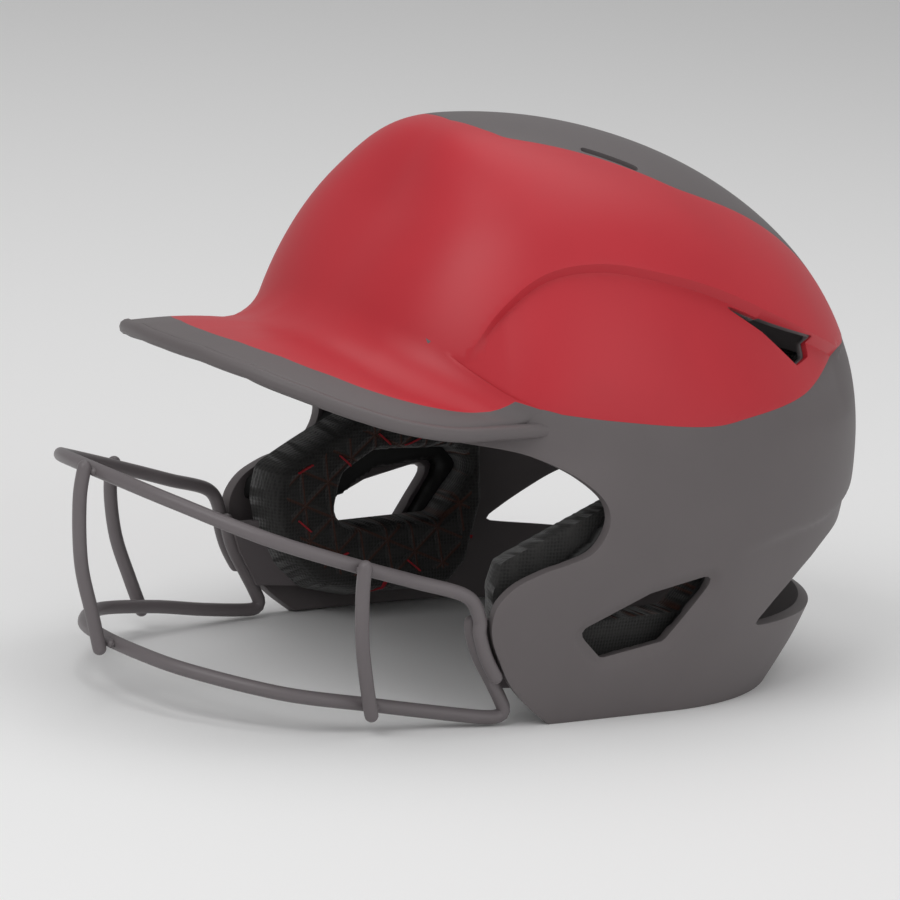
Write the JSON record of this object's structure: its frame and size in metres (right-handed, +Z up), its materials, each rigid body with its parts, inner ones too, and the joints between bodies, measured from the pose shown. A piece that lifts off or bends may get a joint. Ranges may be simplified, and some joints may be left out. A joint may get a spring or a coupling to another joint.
{
  "type": "batting helmet",
  "caption": "Batting helmet with a moulded shell and brim, red crown cover, padded ear flaps with ear holes, and a bolted wire face guard.",
  "frame": {"origin": "on the rest plane, under the middle of the helmet's outline", "axes": "+Z up, the wearer looks along -Y, +X is the wearer's left side"},
  "size_m": [0.218, 0.3627, 0.227],
  "materials": {
    "grey_shell": "matte, lightly grained",
    "red_cover": "matte painted",
    "guard_coat": "satin powder coat",
    "base_foam": "smooth closed-cell foam skin",
    "pad_fabric": "mesh fabric over soft foam",
    "fastener_steel": "black oxide",
    "insert_brass": "knurled"
  },
  "bodies": {
    "root": {"base_shell": "grey_shell", "crown_cover": "red_cover", "forehead_pad": "pad_fabric", "crown_pad": "pad_fabric", "rear_pad": "pad_fabric", "guard_top_bar": "guard_coat", "guard_bottom_bar": "guard_coat", "guard_centre_upright": "guard_coat", "left_side_pad": "pad_fabric", "left_ear_base_foam": "base_foam", "left_ear_comfort_pad": "pad_fabric", "guard_left_upright": "guard_coat", "left_guard_tab": "guard_coat", "left_guard_screws": "fastener_steel", "left_guard_washers": "fastener_steel", "left_guard_inserts": "insert_brass", "right_side_pad": "pad_fabric", "right_ear_base_foam": "base_foam", "right_ear_comfort_pad": "pad_fabric", "guard_right_upright": "guard_coat", "right_guard_tab": "guard_coat", "right_guard_screws": "fastener_steel", "right_guard_washers": "fastener_steel", "right_guard_inserts": "insert_brass"}
  },
  "joints": []
}
